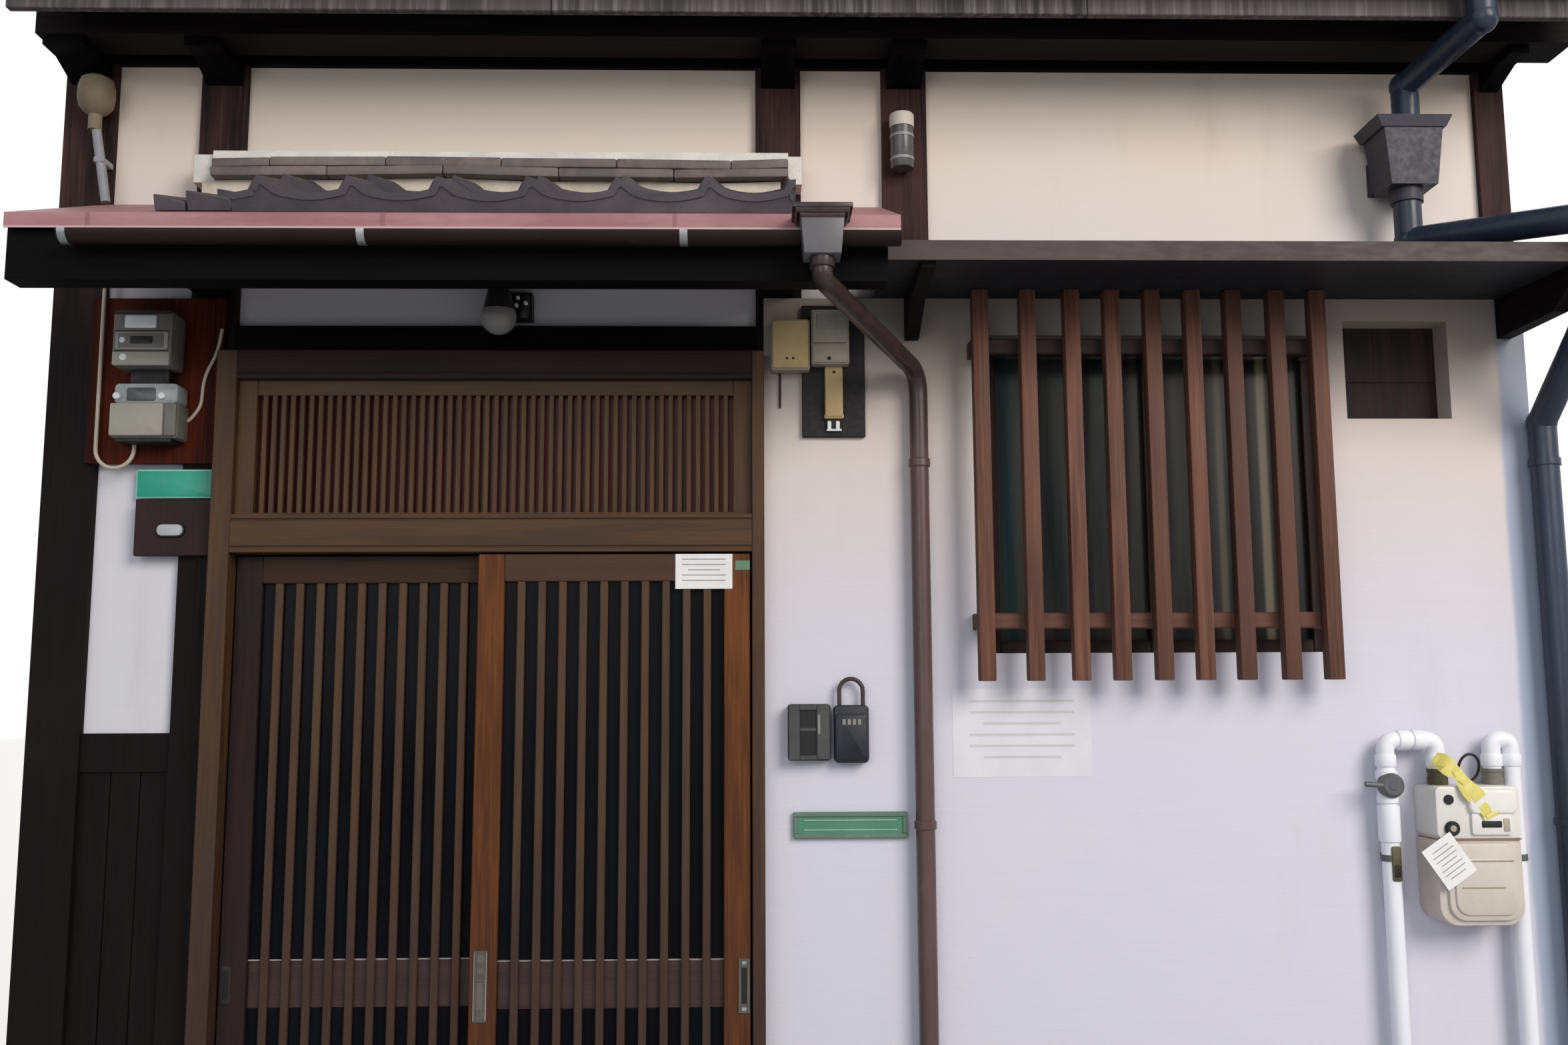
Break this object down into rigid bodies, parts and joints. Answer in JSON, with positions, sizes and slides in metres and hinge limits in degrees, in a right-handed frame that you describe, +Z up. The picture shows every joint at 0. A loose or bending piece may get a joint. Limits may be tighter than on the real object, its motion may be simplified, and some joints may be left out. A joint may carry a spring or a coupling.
{
  "type": "machiya townhouse",
  "caption": "One-storey timber row house with a pan-tiled gable roof, lattice sliding doors under a tiled hood and a barred window under a canopy.",
  "frame": {"origin": "on the ground at the middle of the street front, in the plane of the front post faces", "axes": "+X right along the street front, +Y into the house, +Z up"},
  "size_m": [4.02, 8.9086, 5.0738],
  "materials": {
    "concrete": "rough weathered concrete",
    "dark_timber": "old dark stained timber",
    "roof_timber": "aged rafter timber",
    "hood_timber": "black stained timber",
    "fascia_wood": "weathered grey board",
    "roof_tile": "smoked clay pan tile",
    "hood_tile": "weathered smoked clay tile",
    "wall_plaster": "cream lime plaster",
    "coat_plaster": "brushed white plaster",
    "party_plaster": "plain rendered wall",
    "door_wood": "brown stained joinery",
    "lattice_wood": "dark brown lattice",
    "grille_wood": "red-brown window bars",
    "dark_glass": "dark window glass",
    "pull_metal": "worn flush pull",
    "hood_metal": "faded red sheet metal",
    "brown_pvc": "brown rain goods",
    "canopy_metal": "brown sheet metal",
    "vent_board": "dark board",
    "meter_wood": "red-brown board",
    "meter_case": "grey meter cases",
    "plate_green": "teal green plate",
    "bell_wood": "dark bell board",
    "switch_case": "aged beige cases",
    "key_case": "dark key boxes",
    "mail_green": "green mail flap",
    "gas_ivory": "ivory enamel",
    "gas_white": "white painted pipe",
    "hopper_grey": "grey rain hopper",
    "pipe_blue": "blue-black downpipe",
    "lamp_case": "grey lamp case",
    "conduit_beige": "aged beige conduit"
  },
  "bodies": {
    "house": {"foundation": "concrete", "floor_slab": "concrete", "posts": "dark_timber", "wall_plates": "dark_timber", "eave_arms": "dark_timber", "roof_beams": "roof_timber", "rafters": "roof_timber", "roof_boards": "roof_timber", "roof_tiles_front": "roof_tile", "roof_tiles_back": "roof_tile", "roof_ridge": "roof_tile", "eave_fascias": "fascia_wood", "eave_gutters": "brown_pvc", "party_wall_left": "party_plaster", "party_wall_right": "party_plaster", "front_wall_right": "coat_plaster", "front_infill": "wall_plaster", "back_infill": "wall_plaster", "back_window": "lattice_wood", "left_wainscot": "dark_timber", "door_lintel": "dark_timber", "door_frame": "door_wood", "transom_lattice": "lattice_wood", "fixed_glass": "dark_glass", "hood_frame": "hood_timber", "hood_sheet": "hood_metal", "hood_tiles": "hood_tile", "hood_ridge": "hood_tile", "hood_gutter": "brown_pvc", "hood_downpipe": "brown_pvc", "window_canopy": "canopy_metal", "canopy_brackets": "dark_timber", "window_grille": "grille_wood", "window_frame": "lattice_wood", "vent_panel": "vent_board", "meter_board": "meter_wood", "electric_meters": "meter_case", "address_plate": "plate_green", "bell_plate": "bell_wood", "switch_boxes": "switch_case", "key_boxes": "key_case", "mail_slot": "mail_green", "gas_meter": "gas_ivory", "gas_pipes": "gas_white", "rain_hopper": "hopper_grey", "corner_downpipe": "pipe_blue", "entry_lamp": "lamp_case", "conduit": "conduit_beige"},
    "left_door": {"door_left": "lattice_wood", "door_left_glass": "dark_glass", "door_left_pull": "pull_metal"},
    "right_door": {"door_right": "door_wood", "door_right_glass": "dark_glass", "door_right_pull": "pull_metal"}
  },
  "joints": [
    {"name": "right_door_slide", "type": "slide", "parent": "house", "child": "right_door", "axis": [-1, 0, 0], "range_m": [0, 0.6]},
    {"name": "left_door_slide", "type": "slide", "parent": "house", "child": "left_door", "axis": [1, 0, 0], "range_m": [0, 0.6]}
  ]
}
